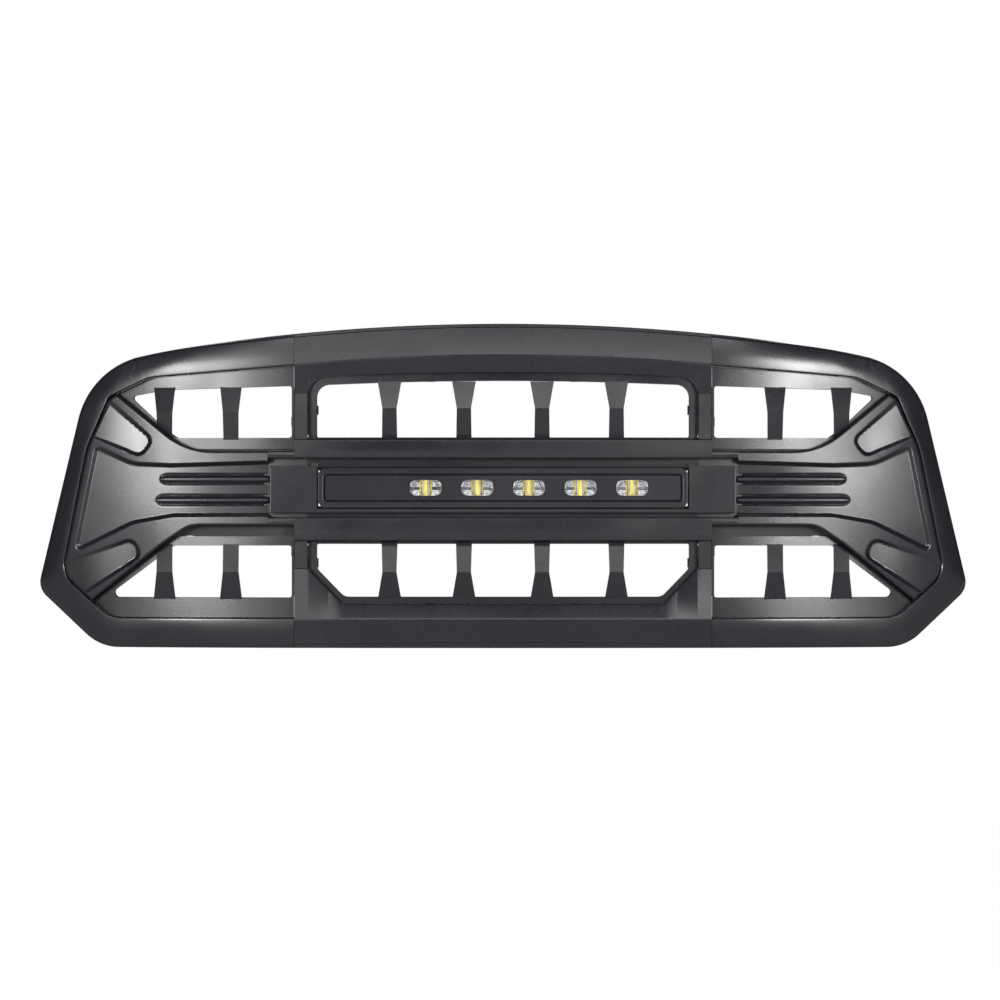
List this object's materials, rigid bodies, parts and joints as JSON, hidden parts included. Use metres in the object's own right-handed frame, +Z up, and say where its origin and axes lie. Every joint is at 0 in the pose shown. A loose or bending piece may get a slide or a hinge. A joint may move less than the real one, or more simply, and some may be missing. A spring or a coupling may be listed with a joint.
{
  "type": "front grille",
  "caption": "Bowed front grille: three-part surround, winged crossbar fascia, finned inserts and an aimable light bar on end pivots.",
  "frame": {"origin": "centre of the four centre bolts, on the rear faces of their pads", "axes": "+X to the right as seen from in front, +Y to the rear (out of the pads, towards the vehicle), +Z up"},
  "size_m": [1.2224, 0.1573, 0.4228],
  "materials": {
    "black_moulding": "satin black ABS with a fine grain",
    "black_panel": "satin black ABS",
    "bar_trim": "semi-gloss black",
    "clear_lens": "clear moulded lens",
    "reflector": "vacuum metallised",
    "black_aluminium": "black anodised",
    "circuit_board": "white solder mask",
    "led": "yellow phosphor",
    "rubber": "matt black rubber",
    "connector_plastic": "glass-filled nylon",
    "coated_steel": "black e-coat",
    "zinc_steel": "bright zinc plate"
  },
  "bodies": {
    "root": {"bracket_screws": "zinc_steel", "crossbar_fascia": "black_moulding", "fascia_screws": "zinc_steel", "insert_lower_centre": "black_moulding", "insert_lower_left": "black_moulding", "insert_lower_right": "black_moulding", "insert_screws": "zinc_steel", "insert_upper_centre": "black_moulding", "insert_upper_left": "black_moulding", "insert_upper_right": "black_moulding", "light_bracket_left": "coated_steel", "light_bracket_right": "coated_steel", "light_panel": "black_panel", "panel_screws": "zinc_steel", "rubber_bumpers": "rubber", "side_bracket_left": "coated_steel", "side_bracket_right": "coated_steel", "side_bracket_screws": "zinc_steel", "surround_bolts": "zinc_steel", "surround_bottom_centre": "black_moulding", "surround_left": "black_moulding", "surround_post_left": "black_moulding", "surround_post_right": "black_moulding", "surround_right": "black_moulding", "surround_top_centre": "black_moulding", "top_seal": "rubber"},
    "light_bar": {"breather_vent": "connector_plastic", "connector_socket": "connector_plastic", "end_cap_left": "black_aluminium", "end_cap_right": "black_aluminium", "end_cap_screws": "zinc_steel", "heat_sink": "black_aluminium", "heat_sink_screws": "zinc_steel", "led_board": "circuit_board", "led_board_screws": "zinc_steel", "led_chips": "led", "lens_1": "clear_lens", "lens_2": "clear_lens", "lens_3": "clear_lens", "lens_4": "clear_lens", "lens_5": "clear_lens", "light_bezel": "bar_trim", "light_face_plate": "bar_trim", "light_gasket": "rubber", "light_housing": "black_aluminium", "lock_bolt_left": "zinc_steel", "lock_bolt_right": "zinc_steel", "pivot_bolt_left": "zinc_steel", "pivot_bolt_right": "zinc_steel", "pivot_washer_left": "zinc_steel", "pivot_washer_right": "zinc_steel", "reflector_1": "reflector", "reflector_2": "reflector", "reflector_3": "reflector", "reflector_4": "reflector", "reflector_5": "reflector"}
  },
  "joints": [
    {"name": "light_bar_aim", "type": "hinge", "parent": "root", "child": "light_bar", "pos_m": [0, -0.03, -0.00185], "axis": [1, 0, 0], "range_deg": [-3, 3]}
  ]
}
